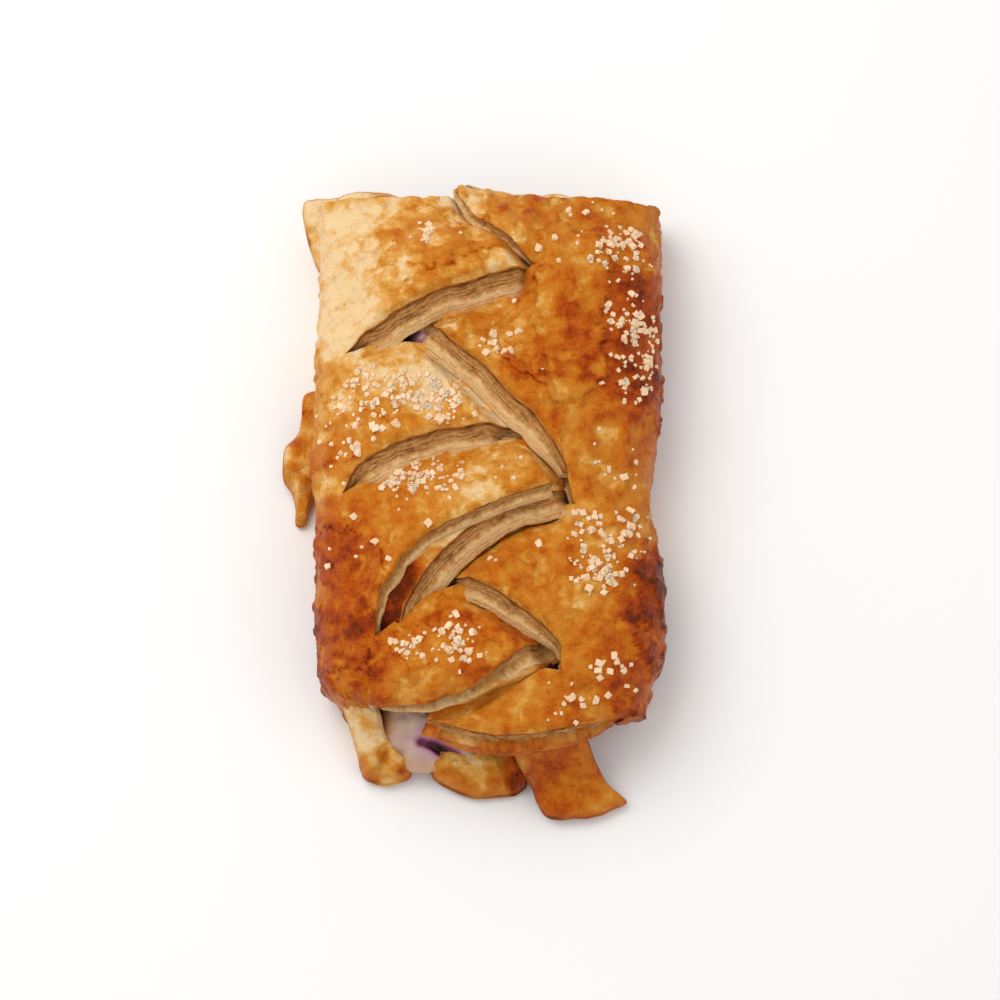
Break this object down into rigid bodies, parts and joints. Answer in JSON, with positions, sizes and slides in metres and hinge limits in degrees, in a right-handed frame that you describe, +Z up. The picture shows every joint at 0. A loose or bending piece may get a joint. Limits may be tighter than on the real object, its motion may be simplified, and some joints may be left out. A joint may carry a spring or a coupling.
{
  "type": "blueberry strudel",
  "caption": "Oblong braided puff pastry with crossed strips over a cream and blueberry filling and coarse sugar on top, to lie on a plate, tray or bakery shelf.",
  "frame": {"origin": "on the surface that the pastry lies on, below the middle of its footprint", "axes": "+X across the loaf to its right, +Y along the loaf to its back end, +Z up through the braided top"},
  "size_m": [0.0748, 0.1232, 0.0286],
  "materials": {
    "pastry": "baked puff pastry, egg-washed, golden to deep brown, with pale layered edges and coarse sugar",
    "cream": "soft baked cream stained lavender by the fruit",
    "blueberry": "glossy dark purple cooked fruit"
  },
  "bodies": {
    "root": {"pastry": "pastry", "cream_filling": "cream", "blueberry_filling": "blueberry"}
  },
  "joints": []
}
